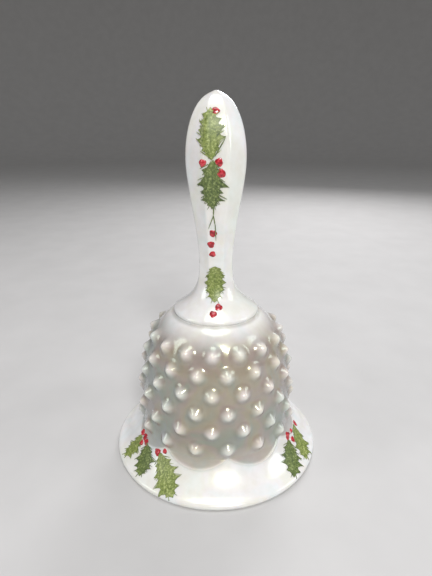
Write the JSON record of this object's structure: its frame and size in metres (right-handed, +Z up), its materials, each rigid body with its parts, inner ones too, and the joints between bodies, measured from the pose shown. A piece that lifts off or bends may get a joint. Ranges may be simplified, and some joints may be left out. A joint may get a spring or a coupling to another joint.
{
  "type": "hand bell",
  "caption": "Hand bell in pearly white pressed glass with a hobnail body, flared rim, panelled handle, painted holly, and a bead clapper on a chain inside.",
  "frame": {"origin": "centre of the ring that the bell stands on, at the height of the table", "axes": "+Z up the bell's axis to the tip of the handle; -Y is the front, where the sprig on the handle faces"},
  "size_m": [0.085, 0.085, 0.14],
  "materials": {
    "milk_glass": "opaque white glass with a pearly lustre, glossy",
    "cement": "matt off-white cement",
    "brass_wire": "bright drawn wire",
    "bead_glass": "opaque white glass, glossy",
    "leaf_green": "fired enamel, yellow green, half gloss",
    "leaf_deep": "fired enamel, dark green, half gloss",
    "berry_red": "fired enamel, deep red, half gloss"
  },
  "bodies": {
    "bell": {"bell_glass": "milk_glass", "hanger_cement": "cement", "hanger_eye": "brass_wire", "handle_leaf_upper": "leaf_green", "handle_leaf_middle": "leaf_deep", "handle_leaf_lower": "leaf_green", "handle_stems": "leaf_deep", "handle_berries": "berry_red", "rim_leaf_1": "leaf_green", "rim_leaf_2": "leaf_deep", "rim_leaf_3": "leaf_green", "rim_leaf_4": "leaf_deep", "rim_leaf_5": "leaf_green", "rim_leaf_6": "leaf_deep", "rim_leaf_7": "leaf_green", "rim_leaf_8": "leaf_deep", "rim_berries": "berry_red"},
    "link_1": {"chain_link_1": "brass_wire"},
    "link_2": {"chain_link_2": "brass_wire"},
    "link_3": {"chain_link_3": "brass_wire"},
    "link_4": {"chain_link_4": "brass_wire"},
    "link_5": {"chain_link_5": "brass_wire"},
    "clapper": {"clapper_pin": "brass_wire", "clapper_bead": "bead_glass"}
  },
  "joints": [
    {"name": "link_1_swing", "type": "hinge", "parent": "bell", "child": "link_1", "pos_m": [0, 0, 0.0511], "axis": [1, 0, 0], "range_deg": [-30, 30]},
    {"name": "link_2_swing", "type": "hinge", "parent": "link_1", "child": "link_2", "pos_m": [0, 0, 0.0457], "axis": [0, 1, 0], "range_deg": [-30, 30]},
    {"name": "link_3_swing", "type": "hinge", "parent": "link_2", "child": "link_3", "pos_m": [0, 0, 0.0403], "axis": [-1, 0, 0], "range_deg": [-30, 30]},
    {"name": "link_4_swing", "type": "hinge", "parent": "link_3", "child": "link_4", "pos_m": [0, 0, 0.0349], "axis": [0, -1, 0], "range_deg": [-30, 30]},
    {"name": "link_5_swing", "type": "hinge", "parent": "link_4", "child": "link_5", "pos_m": [0, 0, 0.0295], "axis": [1, 0, 0], "range_deg": [-30, 30]},
    {"name": "clapper_swing", "type": "hinge", "parent": "link_5", "child": "clapper", "pos_m": [0, 0, 0.0241], "axis": [0, 1, 0], "range_deg": [-30, 30]}
  ]
}
